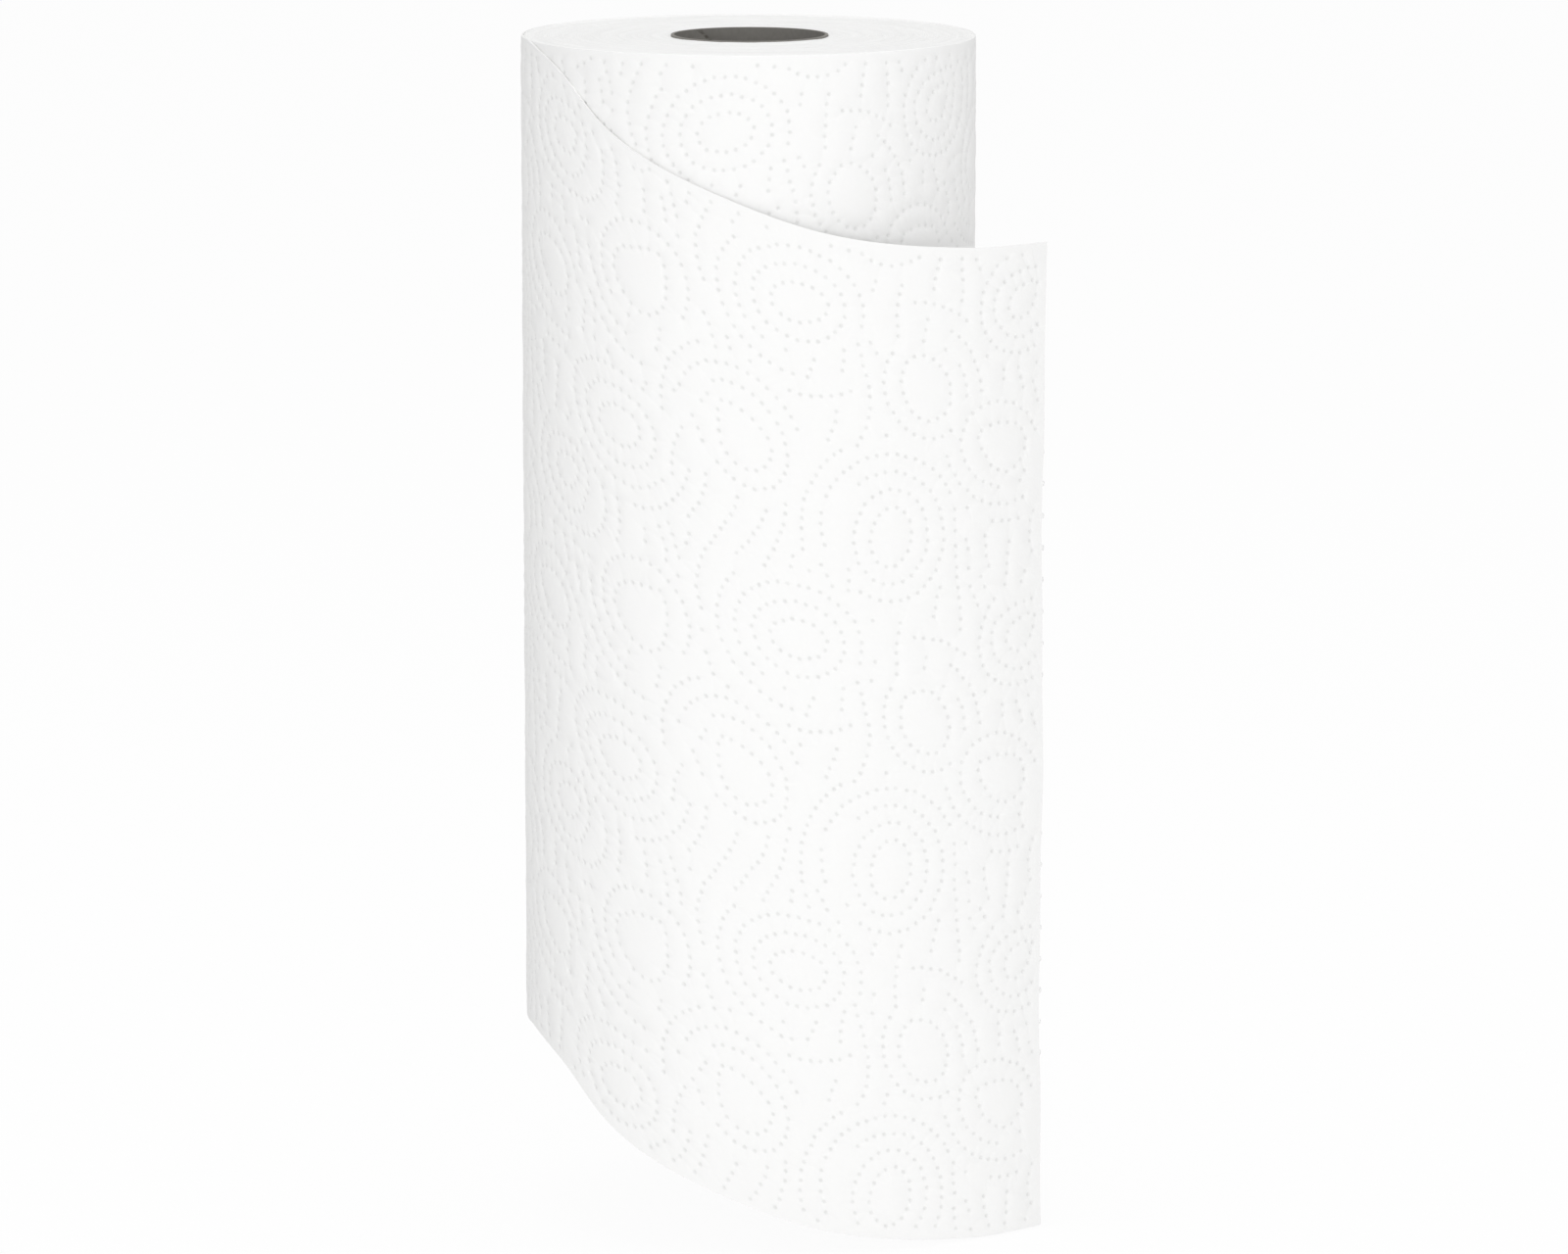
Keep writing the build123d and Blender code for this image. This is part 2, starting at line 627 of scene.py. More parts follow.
def pressed_in(emboss, depths):
    """Distance inwards at each place: in at a dot, swollen out between the dots."""
    return np.where(depths > 0, depths * emboss.dot_depth, depths * emboss.puff)


# Materials


def set_inputs(node, values):
    """Sets inputs of a node to plain values, by name."""
    for name, value in values.items():
        node.inputs[name].default_value = value


def new_material(name, colour, roughness):
    """A material with its main shader and nodes to build on."""
    material = bpy.data.materials.new(name)
    material.use_nodes = True
    shader = material.node_tree.nodes["Principled BSDF"]
    set_inputs(shader, {"Base Color": (*colour, 1), "Roughness": roughness, "Specular IOR Level": 0.2})
    return material, material.node_tree, shader


def add_node(tree, kind, **values):
    """A node of a shader or geometry tree, with its properties set."""
    node = tree.nodes.new(kind)
    for key, value in values.items():
        setattr(node, key, value)
    return node


def object_noise(tree, scale, detail, roughness):
    """Noise on the object's own coordinates."""
    place = add_node(tree, "ShaderNodeTexCoord")
    noise = add_node(tree, "ShaderNodeTexNoise")
    set_inputs(noise, {"Scale": scale, "Detail": detail, "Roughness": roughness})
    tree.links.new(place.outputs["Object"], noise.inputs["Vector"])
    return noise.outputs["Fac"]


def feed(tree, value, socket):
    """Links an output to an input, or sets the input to a plain value."""
    if isinstance(value, bpy.types.NodeSocket):
        tree.links.new(value, socket)
    else:
        socket.default_value = value


def maths(tree, operation, first, second):
    """One step of arithmetic on sockets or numbers."""
    node = add_node(tree, "ShaderNodeMath", operation=operation)
    feed(tree, first, node.inputs[0])
    feed(tree, second, node.inputs[1])
    return node.outputs[0]


def mix_colours(tree, share, first, second):
    """A mix of two colours, each a socket or four numbers."""
    mix = add_node(tree, "ShaderNodeMix", data_type="RGBA")
    for value, number in ((share, 0), (first, 6), (second, 7)):
        feed(tree, value, mix.inputs[number])
    return mix.outputs[2]


def mix_shaders(tree, share, first, second, output):
    """Sends a mix of two shaders to the output node."""
    mix = add_node(tree, "ShaderNodeMixShader")
    for socket, value in zip(mix.inputs, (share, first, second)):
        tree.links.new(value, socket)
    tree.links.new(mix.outputs[0], output.inputs["Surface"])


def add_fibres(tree, shader, fibres, colour, shades, pressed_and_painted_shade):
    """Colours a shader between two tones of a colour, and with another colour by a share the mesh stores:
    where a dot presses the paper in, for painted shade, or along a seam in the board.
    """
    share = add_node(tree, "ShaderNodeAttribute", attribute_name="pressed_and_painted_shade")
    limit = add_node(tree, "ShaderNodeMapRange")
    tree.links.new(share.outputs["Fac"], limit.inputs["Value"])
    dark, light = ((*(shade * c for c in colour), 1) for shade in shades)
    flecked = mix_colours(tree, fibres, dark, light)
    coloured = mix_colours(tree, limit.outputs["Result"], flecked, (*pressed_and_painted_shade, 1))
    tree.links.new(coloured, shader.inputs["Base Color"])


def add_bump(tree, shader, height, strength, distance):
    """A fine relief on a shader."""
    bump = add_node(tree, "ShaderNodeBump")
    set_inputs(bump, {"Strength": strength, "Distance": distance})
    tree.links.new(height, bump.inputs["Height"])
    tree.links.new(bump.outputs["Normal"], shader.inputs["Normal"])


def paper_material(finishes):
    """Soft white paper, darker where a dot presses it in, partly for its denser fibres and partly as painted
    shade; the same colour paints shade on turns that sink and in the groove between the plies.
    """
    name = "soft towel paper"
    if name in bpy.data.materials:
        return bpy.data.materials[name]
    material, tree, shader = new_material(name, finishes.paper, 0.95)
    fibres = object_noise(tree, 900.0, 3.0, 0.6)
    add_fibres(tree, shader, fibres, finishes.paper, (0.985, 1.0), finishes.pressed_and_painted_shade)
    add_bump(tree, shader, object_noise(tree, 1400.0, 4.0, 0.65), 0.25, 0.1 * MM)
    return material


def board_material(finishes):
    """Grey board with short fibres and darker seams; its grey is set darker than the board's own, partly as
    painted shade for the inside of the core.
    """
    material, tree, shader = new_material("grey core board", finishes.board, 0.9)
    fibres = object_noise(tree, 700.0, 5.0, 0.7)
    add_fibres(tree, shader, fibres, finishes.board, (0.8, 1.15), finishes.seam)
    add_bump(tree, shader, fibres, 0.4, 0.15 * MM)
    return material


def backdrop_floor_material(finishes):
    """A pale floor that reads as a white page to the camera and keeps a soft shadow."""
    material, tree, shader = new_material("pale studio floor", finishes.floor, 0.9)
    page = add_node(tree, "ShaderNodeEmission")
    set_inputs(page, {"Color": (1, 1, 1, 1), "Strength": 1.0})
    share = maths(tree, "MULTIPLY", seen_directly(tree), PAGE_SHARE)
    mix_shaders(tree, share, shader.outputs[0], page.outputs[0], tree.nodes["Material Output"])
    return material


def seen_directly(tree):
    """1 for what the camera sees, also in gloss and through clear parts."""
    path = add_node(tree, "ShaderNodeLightPath").outputs
    first = maths(tree, "MAXIMUM", path["Is Camera Ray"], path["Is Glossy Ray"])
    return maths(tree, "MAXIMUM", first, path["Is Transmission Ray"])


# Geometry node trees


def new_geometry_tree(name, inputs):
    """An empty geometry node tree with named inputs, as (name, kind, value)."""
    tree = bpy.data.node_groups.new(name, "GeometryNodeTree")
    for label, kind, value in inputs:
        socket = tree.interface.new_socket(label, in_out="INPUT", socket_type=kind)
        if value is not None:
            socket.default_value = value
    tree.interface.new_socket("Geometry", in_out="OUTPUT", socket_type="NodeSocketGeometry")
    return tree, add_node(tree, "NodeGroupInput").outputs, add_node(tree, "NodeGroupOutput").inputs


def vector(tree, x=0.0, y=0.0, z=0.0):
    """A vector of three sockets or numbers."""
    node = add_node(tree, "ShaderNodeCombineXYZ")
    for value, socket in zip((x, y, z), node.inputs):
        feed(tree, value, socket)
    return node.outputs["Vector"]


def geometry_node(tree, kind, geometry):
    """A node that takes in geometry."""
    node = add_node(tree, "GeometryNode" + kind)
    tree.links.new(geometry, node.inputs["Geometry"])
    return node


def transformed(tree, geometry, name, value):
    """Geometry with one input of its transform set."""
    node = geometry_node(tree, "Transform", geometry)
    feed(tree, value, node.inputs[name])
    return node.outputs["Geometry"]


def end_tree(tree, geometry, material, result):
    """Makes instances real, shades them smooth, sets the material and ends the tree."""
    for kind in ("RealizeInstances", "SetShadeSmooth", "SetMaterial"):
        node = geometry_node(tree, kind, geometry)
        geometry = node.outputs["Geometry"]
    tree.links.new(material, node.inputs["Material"])
    tree.links.new(geometry, result["Geometry"])


def streak_place(tree):
    """A place for noise that runs in long streaks round the roll: distance out, then direction."""
    place = add_node(tree, "GeometryNodeInputPosition")
    away = add_node(tree, "ShaderNodeVectorMath", operation="LENGTH")
    tree.links.new(place.outputs["Position"], away.inputs[0])
    direction = add_node(tree, "ShaderNodeVectorMath", operation="NORMALIZE")
    tree.links.new(place.outputs["Position"], direction.inputs[0])
    parts = add_node(tree, "ShaderNodeSeparateXYZ")
    tree.links.new(direction.outputs["Vector"], parts.inputs[0])
    out = maths(tree, "MULTIPLY", away.outputs["Value"], STREAK_FINENESS)
    round_x, round_y = (maths(tree, "MULTIPLY", parts.outputs[axis], STREAK_SHORTNESS) for axis in "XY")
    return vector(tree, out, round_x, round_y)


TURN_EDGES_INPUTS = [
    ("Turns", "NodeSocketFloat", 67.0),
    ("Points per Turn", "NodeSocketInt", 72),
    ("Inner Radius", "NodeSocketFloat", 0.0225),
    ("Outer Radius", "NodeSocketFloat", 0.0631),
    ("End Angle", "NodeSocketFloat", 1.73),
    ("Edge Width", "NodeSocketFloat", 0.0006),
    ("Edge Height", "NodeSocketFloat", 0.0005),
    ("Web Width", "NodeSocketFloat", 0.2794),
    ("Wander", "NodeSocketFloat", 0.0009),
    ("Seed", "NodeSocketFloat", 7.0),
    ("Material", "NodeSocketMaterial", None),
]


def turn_edges_tree():
    """A spiral of rounded paper edges on both ends of a roll."""
    tree, given, result = new_geometry_tree("turn edges", TURN_EDGES_INPUTS)
    link = tree.links.new
    spiral = add_node(tree, "GeometryNodeCurveSpiral")
    link(given["Points per Turn"], spiral.inputs["Resolution"])
    link(given["Turns"], spiral.inputs["Rotations"])
    link(given["Inner Radius"], spiral.inputs["Start Radius"])
    link(given["Outer Radius"], spiral.inputs["End Radius"])
    spiral.inputs["Height"].default_value = 0.0
    upright = add_node(tree, "GeometryNodeSetCurveNormal", mode="Z_UP")
    link(spiral.outputs["Curve"], upright.inputs["Curve"])

    profile = add_node(tree, "GeometryNodeCurvePrimitiveCircle", mode="RADIUS")
    set_inputs(profile, {"Resolution": 6, "Radius": 1.0})
    half_width = maths(tree, "MULTIPLY", given["Edge Width"], 0.5)
    half_size = vector(tree, given["Edge Height"], half_width, 1.0)
    squashed = transformed(tree, profile.outputs["Curve"], "Scale", half_size)

    sweep = add_node(tree, "GeometryNodeCurveToMesh")
    sweep.inputs["Fill Caps"].default_value = True
    link(upright.outputs["Curve"], sweep.inputs["Curve"])
    link(squashed, sweep.inputs["Profile Curve"])

    streak = streak_place(tree)
    ends = []
    for side, inwards in ((0.0, 1.0), (1.0, -1.0)):
        # Some turns stand a little lower than others, for a part of their way round, and are given painted
        # shade there.
        noise = add_node(tree, "ShaderNodeTexNoise", noise_dimensions="4D")
        set_inputs(noise, {"Scale": 1.0, "Detail": 3.0})
        link(streak, noise.inputs["Vector"])
        link(maths(tree, "ADD", given["Seed"], 5.0 * side), noise.inputs["W"])
        sway = maths(tree, "SUBTRACT", noise.outputs["Fac"], 0.5 - TURNS_SINK * inwards)
        rise = maths(tree, "MULTIPLY", sway, given["Wander"])
        level = maths(tree, "MULTIPLY", given["Web Width"], side)
        inset = maths(tree, "MULTIPLY", given["Edge Height"], inwards)
        height = maths(tree, "ADD", maths(tree, "ADD", level, inset), rise)
        sunk_painted_shade = maths(tree, "MULTIPLY", sway, SUNK_SHADE * inwards)
        # Stores the painted shade of the lower turns as a share of the darker paper colour
        note = geometry_node(tree, "StoreNamedAttribute", sweep.outputs["Mesh"])
        note.inputs["Name"].default_value = "pressed_and_painted_shade"
        link(maths(tree, "MAXIMUM", sunk_painted_shade, 0.0), note.inputs["Value"])
        move = geometry_node(tree, "SetPosition", note.outputs["Geometry"])
        link(vector(tree, z=height), move.inputs["Offset"])
        ends.append(move.outputs["Geometry"])
    both = add_node(tree, "GeometryNodeJoinGeometry")
    for end in ends:
        link(end, both.inputs["Geometry"])
    turn = vector(tree, z=given["End Angle"])
    turned = transformed(tree, both.outputs["Geometry"], "Rotation", turn)
    end_tree(tree, turned, given["Material"], result)
    return tree


BOND_ROW_INPUTS = [
    ("Count", "NodeSocketInt", 31),
    ("Pitch", "NodeSocketFloat", 0.009),
    ("Start", "NodeSocketVector", (0, 0, 0)),
    ("Heading", "NodeSocketFloat", 0.0),
    ("Bond Length", "NodeSocketFloat", 0.0015),
    ("Reach", "NodeSocketFloat", 0.0008),
    ("Thickness", "NodeSocketFloat", 0.0005),
    ("Taper", "NodeSocketFloat", 1.0),
    ("Unevenness", "NodeSocketFloat", 0.2),
    ("Seed", "NodeSocketInt", 3),
    ("Material", "NodeSocketMaterial", None),
]


def bond_row_tree():
    """A row of small paper bonds up the roll, each a little different."""
    tree, given, result = new_geometry_tree("bond row", BOND_ROW_INPUTS)
    link = tree.links.new
    line = add_node(tree, "GeometryNodeMeshLine", mode="OFFSET")
    link(given["Count"], line.inputs["Count"])
    link(given["Start"], line.inputs["Start Location"])
    link(vector(tree, z=given["Pitch"]), line.inputs["Offset"])

    tuft = add_node(tree, "GeometryNodeMeshCone")
    set_inputs(tuft, {"Vertices": 8, "Side Segments": 2, "Radius Bottom": 0.5, "Depth": 1.0})
    link(maths(tree, "MULTIPLY", given["Taper"], 0.5), tuft.inputs["Radius Top"])
    lying = transformed(tree, tuft.outputs["Mesh"], "Rotation", (0, pi / 2, 0))
    size = vector(tree, *(given[name] for name in ("Reach", "Thickness", "Bond Length")))
    bond = transformed(tree, lying, "Scale", size)

    vary = add_node(tree, "FunctionNodeRandomValue", data_type="FLOAT_VECTOR")
    link(given["Seed"], vary.inputs["Seed"])
    for name, sign in (("Min", -1.0), ("Max", 1.0)):
        amount = maths(tree, "MULTIPLY", given["Unevenness"], sign)
        bound = maths(tree, "ADD", amount, 1.0)
        link(vector(tree, bound, 1.0, bound), vary.inputs[name])
    spread = add_node(tree, "GeometryNodeInstanceOnPoints")
    link(line.outputs["Mesh"], spread.inputs["Points"])
    link(bond, spread.inputs["Instance"])
    link(vector(tree, z=given["Heading"]), spread.inputs["Rotation"])
    link(vary.outputs["Value"], spread.inputs["Scale"])
    end_tree(tree, spread.outputs["Instances"], given["Material"], result)
    return tree


def grown_from(tree, name, values):
    """The plain mesh object that a geometry node tree makes from these inputs."""
    seed = new_object(name + " seed", bpy.data.meshes.new(name + " seed"))
    modifier = seed.modifiers.new(name, "NODES")
    modifier.node_group = tree
    sockets = {s.name: s.identifier for s in tree.interface.items_tree if s.in_out == "INPUT"}
    for label, value in values.items():
        modifier[sockets[label]] = value
    seed.update_tag()
    ready = seed.evaluated_get(bpy.context.evaluated_depsgraph_get())
    mesh = bpy.data.meshes.new_from_object(ready)
    mesh.name = name
    seed.modifiers.remove(modifier)
    bpy.data.objects.remove(seed)
    return new_object(name, mesh)


def placed(piece, node):
    """Puts a finished piece in the frame in place of a CAD node."""
    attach(piece, "root")
    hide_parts(node)
    return piece


# Pieces


def make_wound_roll(sizes, emboss, paper):
    """The wound turns: an embossed wall with a step at the perforation, a bore and two ends."""
    run = wound_run(sizes)
    dots = pressed_dots(sizes, emboss, -run, 0.0) * (-1, 1)
    flat, depths, faces = flat_pattern(run, WEB_WIDTH, dots, emboss)
    _, columns, rows = flat_border(run, WEB_WIDTH)
    plan, outward = wound_plan(sizes, flat[:, 0])
    plan = plan - outward * pressed_in(emboss, depths)[:, None]
    shoulder = 0.2 * MM
    lip, end_face = 0.25 * MM, 0.6 * MM
    height = np.clip(flat[:, 1], shoulder, WEB_WIDTH - shoulder)
    places = np.column_stack([plan, height]).tolist()
    lower = np.arange(columns + 1)
    upper = np.arange(2 * columns + rows, columns + rows - 1, -1)
    left = np.append(0, np.arange(2 * columns + 2 * rows - 1, 2 * columns + rows - 1, -1))
    right = np.arange(columns, columns + rows + 1)
    faces += list(zip(left[:-1], left[1:], right[1:], right[:-1]))
    bores = []
    for ring, end, inwards in ((lower, 0.0, 1.0), (upper, WEB_WIDTH, -1.0)):
        bore, _ = on_arc((0, 0), CORE_RADIUS, np.arctan2(plan[ring, 1], plan[ring, 0]))
        level = end + inwards * sizes.edge_height
        rims = [
            (plan[ring] - lip * outward[ring], end),
            (plan[ring] - end_face * outward[ring], level),
            (bore, level),
        ]
        for rim, at in rims:
            start = len(places)
            places += np.column_stack([rim, np.full(len(rim), at)]).tolist()
            inner = np.arange(start, start + len(rim))
            faces += list(zip(ring, np.roll(ring, -1), np.roll(inner, -1), inner))
            ring = inner
        bores.append(ring)
    low, high = bores
    faces += list(zip(low, np.roll(low, -1), np.roll(high, -1), high))
    # Dots darken by their depth, partly for the denser paper and partly as painted shade in the pits
    pressed_and_painted_shade = np.append(np.clip(depths, 0, 1), np.zeros(len(places) - len(depths)))
    piece = finished_object("wound_roll", places, faces, pressed_and_painted_shade, paper)
    return placed(piece, "towel_web")


def make_turn_edges(sizes, paper):
    """The edges of the turns, as one spiral on each end of the roll."""
    clear_of_wall = 1.15 * THICKNESS
    outer = UNDER_RADIUS - clear_of_wall
    values = {
        "Turns": float(sizes.turns),
        "Inner Radius": CORE_RADIUS + THICKNESS / 2,
        "Outer Radius": outer,
        "End Angle": perforation_angle(sizes),
        "Edge Width": (outer - CORE_RADIUS) / sizes.turns,
        "Edge Height": sizes.edge_height,
        "Web Width": WEB_WIDTH,
        "Material": paper,
    }
    piece = grown_from(turn_edges_tree(), "turn_edges", values)
    return placed(piece, "towel_web")


def free_share(sizes, along):
    """0 where the last sheet lies on the roll, rising to 1 a little way into its free part."""
    return np.clip((along - back_run(sizes) - roll_run(sizes)) / FREE_START, 0, 1)


def sheet_sway(sizes, along, up):
    """How far the free part of the sheet sways in and out, as soft paper does."""
    free = free_share(sizes, along)
    past = (along - back_run(sizes) - roll_run(sizes)) / sizes.curl_length
    long_wave = LONG_SWAY * np.sin(2 * pi * up / LONG_WAVE + 0.8) * past
    short_wave = SHORT_SWAY * np.sin(2 * pi * up / SHORT_WAVE + 3.0 * past)
    # Both slipped edges stand a little off the roll, more so near where the sheet lifts off.
    loosened = np.clip((along - back_run(sizes)) / roll_run(sizes), 0, 1) ** LOOSENING
    near_top = np.clip(1 - (WEB_WIDTH - up) / LIFT_BAND, 0, 1) ** 2
    near_bottom = np.clip(1 - up / LIFT_BAND, 0, 1) ** 2
    return free * (long_wave + short_wave) + loosened * (TOP_LIFT * near_top + BOTTOM_LIFT * near_bottom)


def border_inwards(border, run):
    """Direction towards the middle of the sheet at each border place, along and up."""
    tiny = 1e-9
    far = np.array([run, WEB_WIDTH]) - tiny
    return ((border < tiny) * 1.0 - (border > far) * 1.0).T


def make_loose_sheet(sizes, emboss, paper):
    """The last sheet: round the left, over the front, off the roll and into the air."""
    gap = sizes.slit_width / 2
    run = sizes.sheet_length - gap
    dots = pressed_dots(sizes, emboss, gap, sizes.sheet_length) - (gap, 0)
    flat, depths, faces = flat_pattern(run, WEB_WIDTH, dots, emboss)
    edge = len(flat_border(run, WEB_WIDTH)[0])
    along = flat[:, 0] + gap
    plan, outward = sheet_plan(sizes, along)
    plan = plan + outward * sheet_sway(sizes, along, flat[:, 1])[:, None]
    height = flat[:, 1] - drop_at(sizes, along)
    press = pressed_in(emboss, depths)
    free = free_share(sizes, along)
    rest_gap = 0.05 * MM
    inside = THICKNESS - rest_gap + free * press
    outer = np.column_stack([plan - outward * press[:, None], height])
    inner = np.column_stack([plan - outward * inside[:, None], height])

    # The two plies part a little along the edge, where a fine groove runs between them; the groove is given
    # painted shade.
    groove = 0.2 * MM
    # Share of the darker colour painted into the groove as shade
    groove_shade = 0.15
    parting = (outer[:edge] + inner[:edge]) / 2
    along_in, up_in = border_inwards(flat[:edge], run)
    tangent = np.column_stack([-outward[:edge, 1], outward[:edge, 0]])
    parting[:, :2] += groove * along_in[:, None] * tangent
    parting[:, 2] += groove * up_in

    count = len(flat)
    places = np.vstack([outer, inner, parting])
    faces += [tuple(count + i for i in reversed(face)) for face in faces]
    rim = np.arange(edge)
    after = np.roll(rim, -1)
    faces += list(zip(rim, 2 * count + rim, 2 * count + after, after))
    faces += list(zip(2 * count + rim, count + rim, count + after, 2 * count + after))
    # Dots darken by their depth, partly for the denser paper and partly as painted shade in the pits, on the
    # inner face only where the sheet hangs free; the groove gets painted shade
    pressed_and_painted_shade = np.clip(depths, 0, 1)
    pressed_and_painted_shade = np.concatenate([pressed_and_painted_shade, pressed_and_painted_shade * free, np.full(edge, groove_shade)])
    piece = finished_object("loose_sheet", places, faces, pressed_and_painted_shade, paper)
    return placed(piece, "towel_web")


def bond_values(sizes, along, reach, thickness, taper, paper):
    """Inputs for a row of bonds across the web at a length from the perforation."""
    pitch = sizes.slit_length + sizes.bond_length
    count = int((WEB_WIDTH - sizes.bond_length) / pitch) - 1
    first = (WEB_WIDTH - (count - 1) * pitch) / 2
    plan, outward = sheet_plan(sizes, np.array([along]))
    middle = plan[0] - outward[0] * THICKNESS / 2
    drop = drop_at(sizes, np.array([along]))[0]
    return {
        "Count": count,
        "Pitch": pitch,
        "Start": (middle[0], middle[1], first - drop),
        "Heading": atan2(outward[0][0], -outward[0][1]),
        "Bond Length": sizes.bond_length,
        "Reach": reach,
        "Thickness": thickness,
        "Taper": taper,
        "Material": paper,
    }


def make_bonds(sizes, paper):
    """The bonds that still hold the last sheet, and the torn ones along its free end."""
    tree = bond_row_tree()
    reach = 2.5 * sizes.slit_width
    torn_reach, torn_thickness, torn_taper = 0.55 * reach, 0.4 * THICKNESS, 0.7
    kept = bond_values(sizes, 0.0, reach, THICKNESS, 1.0, paper)
    pulled = bond_values(sizes, sizes.sheet_length, torn_reach, torn_thickness, torn_taper, paper)
    held = placed(grown_from(tree, "perforation_bonds", kept), "towel_web")
    torn = placed(grown_from(tree, "torn_bonds", pulled), "towel_web")
    return held, torn


def seam_places(run, lead, width):
    """Places along a spiral seam on a flat tube wall, as (along, up, share of the depth)."""
    columns = round(run / BORDER_STEP)
    found = []
    for number in range(-1, int(WEB_WIDTH / lead) + 1):
        for k in range(1, 2 * columns):
            share = k / (2 * columns)
            for shift, depth in SEAM_LINES:
                up = lead * (number + share) + shift * width
                if EDGE_GUARD < up < WEB_WIDTH - EDGE_GUARD:
                    found.append((run * share, up, depth))
    return found


def tube_wall(run, seam):
    """Triangles over a flat tube wall with points along its seam."""
    border, _, _ = flat_border(run, WEB_WIDTH)
    tree = near_tree(seam)
    across = np.linspace(0, run, round(run / BORDER_STEP) + 1)[1:-1]
    lattice = [(a, b) for a in across for b in np.arange(ROW_STEP, WEB_WIDTH - ROW_STEP, ROW_STEP)]
    lattice = [(a, b) for a, b in lattice if tree.find((a, b, 0))[2] > SEAM_CLEARANCE]
    places = border.tolist() + [(a, b) for a, b, _ in seam] + lattice
    depths = [0.0] * len(border) + [depth for _, _, depth in seam] + [0.0] * len(lattice)
    return np.array(places), np.array(depths), triangles_between(places)


def make_core(finishes):
    """The core: a tube wound from strips of board, with the seam of a strip inside and out."""
    wall = 0.9 * MM
    lead = 118.0 * MM
    seam_width = 0.5 * MM
    seam_depth = 0.15 * MM
    run = 2 * pi * CORE_RADIUS
    flat, depths, wall_faces = tube_wall(run, seam_places(run, lead, seam_width))
    _, columns, rows = flat_border(run, WEB_WIDTH)
    _, outward = on_arc((0, 0), CORE_RADIUS, flat[:, 0] / CORE_RADIUS)
    outer = (CORE_RADIUS - seam_depth * depths)[:, None] * outward
    inner = (CORE_RADIUS - wall + seam_depth * depths)[:, None] * outward
    count = len(flat)
    places = np.vstack([np.column_stack([outer, flat[:, 1]]), np.column_stack([inner, flat[:, 1]])])
    faces = wall_faces + [tuple(count + i for i in reversed(face)) for face in wall_faces]
    for first in (0, columns + rows):
        rim = np.arange(first, first + columns)
        faces += list(zip(rim, rim + 1, count + rim + 1, count + rim))
    board = board_material(finishes)
    piece = finished_object("core_board", places, faces, np.append(depths, depths), board, weld=True)
    return placed(piece, "core_tube")


# Stage


def make_lamp(name, power, size, place, target):
    """A wide soft lamp that faces a point."""
    light = bpy.data.lights.new(name, "AREA")
    light.energy = power
    light.shape = "SQUARE"
    light.size = size
    lamp = new_object(name, light)
    lamp.location = place
    lamp.rotation_euler = (Vector(target) - Vector(place)).to_track_quat("-Z", "Y").to_euler()
    return lamp


def make_floor(finishes):
    """A wide pale floor just under the sheet's lowest edge."""
    half = 12.0
    level = WEB_LOW.z - 0.6 * MM
    corners = [(x * half, y * half, level) for x, y in ((-1, -1), (1, -1), (1, 1), (-1, 1))]
    mesh = bpy.data.meshes.new("studio_floor")
    mesh.from_pydata(corners, [], [(0, 1, 2, 3)])
    mesh.materials.append(backdrop_floor_material(finishes))
    return new_object("studio_floor", mesh)


def make_room(strength):
    """An even room that reads as a white page to the camera."""
    world = bpy.data.worlds.new("soft room")
    world.use_nodes = True
    tree = world.node_tree
    light = tree.nodes["Background"]
    page = add_node(tree, "ShaderNodeBackground")
    for node, brightness in ((light, strength), (page, 1.0)):
        set_inputs(node, {"Color": (1, 1, 1, 1), "Strength": brightness})
    output = tree.nodes["World Output"]
    mix_shaders(tree, seen_directly(tree), light.outputs[0], page.outputs[0], output)
    bpy.context.scene.world = world


def make_camera():
    """The camera at the photograph's place: a long lens, a little above the roll and tipped down."""
    view = bpy.data.cameras.new("photo view")
    view.lens = CAMERA_LENS
    view.sensor_width = CAMERA_SENSOR
    camera = new_object("photo view", view)
    camera.location = CAMERA_PLACE
    camera.rotation_euler = (pi / 2 - CAMERA_TILT, 0, 0)
    bpy.context.scene.camera = camera


# Operators


class TOWELROLL_OT_wound_roll(bpy.types.Operator):
    """Add the wound turns and the spiral of their edges on both ends"""

    bl_idname = "towel_roll.wound_roll"
    bl_label = "Wound Roll"

    def execute(self, context):
        scene = context.scene
        paper = paper_material(scene.roll_finishes)
        make_wound_roll(scene.roll_sizes, scene.roll_emboss, paper)
        make_turn_edges(scene.roll_sizes, paper)
        return {"FINISHED"}


class TOWELROLL_OT_loose_sheet(bpy.types.Operator):
    """Add the last sheet, the bonds that hold it and the torn bonds along its free end"""

    bl_idname = "towel_roll.loose_sheet"
    bl_label = "Loose Sheet"

    def execute(self, context):
        scene = context.scene
        sizes = scene.roll_sizes
        paper = paper_material(scene.roll_finishes)
        sheet = make_loose_sheet(sizes, scene.roll_emboss, paper)
        held, torn = make_bonds(sizes, paper)
        return {"FINISHED"}


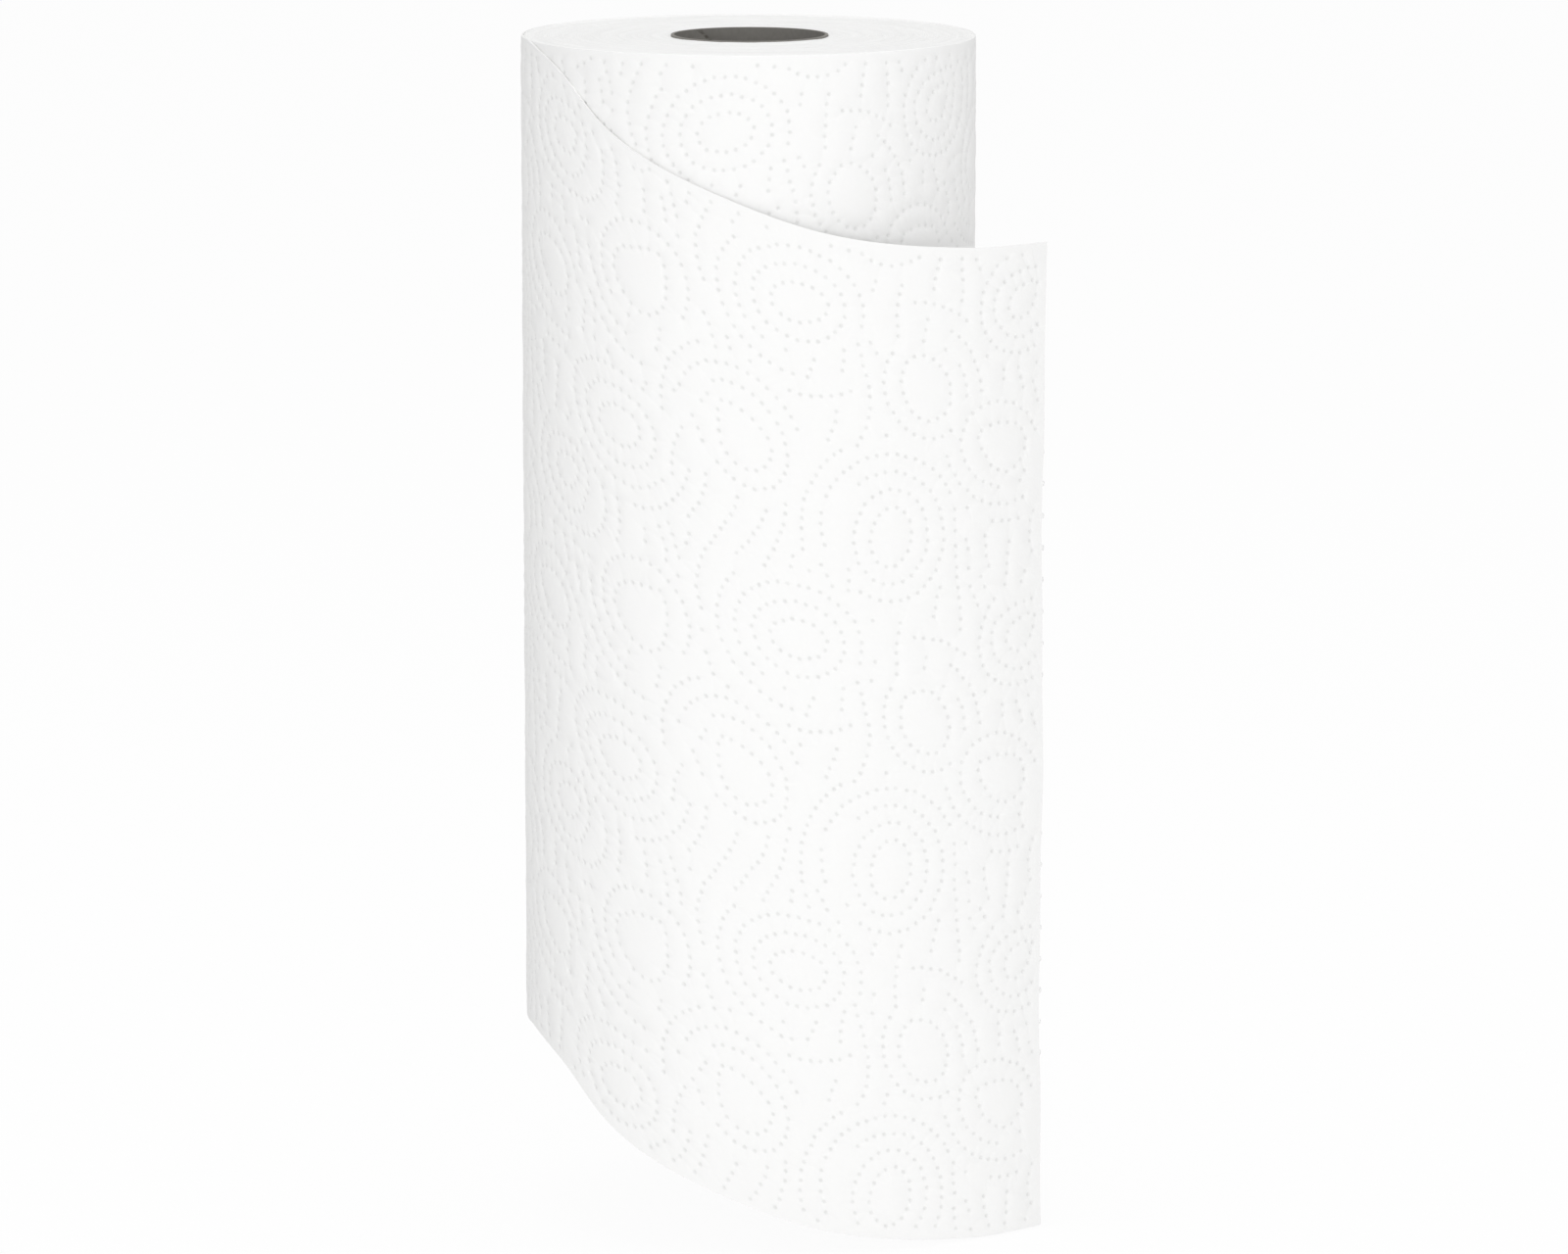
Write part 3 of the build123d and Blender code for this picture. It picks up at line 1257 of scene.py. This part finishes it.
class TOWELROLL_OT_core(bpy.types.Operator):
    """Add the core of spirally wound board"""

    bl_idname = "towel_roll.core"
    bl_label = "Core"

    def execute(self, context):
        make_core(context.scene.roll_finishes)
        return {"FINISHED"}


class TOWELROLL_OT_stage(bpy.types.Operator):
    """Add the floor, the soft lamps, the room and the camera"""

    bl_idname = "towel_roll.stage"
    bl_label = "Stage"

    def execute(self, context):
        scene = context.scene
        lights = scene.studio_lights
        middle = (0.0, 0.0, WEB_WIDTH / 2)
        front = make_lamp("front lamp", lights.front, size=1.4, place=(0.15, -2.6, 0.42), target=middle)
        top = make_lamp("top lamp", lights.top, size=1.2, place=(0.0, 0.1, 1.6), target=middle)
        make_floor(scene.roll_finishes)
        make_room(lights.room)
        make_camera()
        scene.view_settings.view_transform = "Standard"
        return {"FINISHED"}


class TOWELROLL_PT_pieces(bpy.types.Panel):
    """Lists the pieces of the roll and their settings"""

    bl_idname = "TOWELROLL_PT_pieces"
    bl_label = "Towel Roll"
    bl_space_type = "VIEW_3D"
    bl_region_type = "UI"
    bl_category = "Towel Roll"

    def draw(self, context):
        for setting, group in SETTINGS.items():
            box = self.layout.box()
            for name in group.__annotations__:
                box.prop(getattr(context.scene, setting), name)
        for operator in PIECES:
            self.layout.operator(operator.bl_idname)


PIECES = (
    TOWELROLL_OT_wound_roll,
    TOWELROLL_OT_loose_sheet,
    TOWELROLL_OT_core,
    TOWELROLL_OT_stage,
)
SETTINGS = {
    "roll_sizes": RollSizes,
    "roll_emboss": EmbossSizes,
    "roll_finishes": RollFinishes,
    "studio_lights": StudioLights,
}
CLASSES = (*SETTINGS.values(), *PIECES, TOWELROLL_PT_pieces)


def register():
    for each in CLASSES:
        bpy.utils.register_class(each)
    for name, group in SETTINGS.items():
        setattr(bpy.types.Scene, name, PointerProperty(type=group))


def unregister():
    for name in SETTINGS:
        delattr(bpy.types.Scene, name)
    for each in reversed(CLASSES):
        bpy.utils.unregister_class(each)


def main():
    """Builds every piece in order."""
    register()
    bpy.ops.towel_roll.wound_roll()
    bpy.ops.towel_roll.loose_sheet()
    bpy.ops.towel_roll.core()
    bpy.ops.towel_roll.stage()


if __name__ == "__main__":
    main()
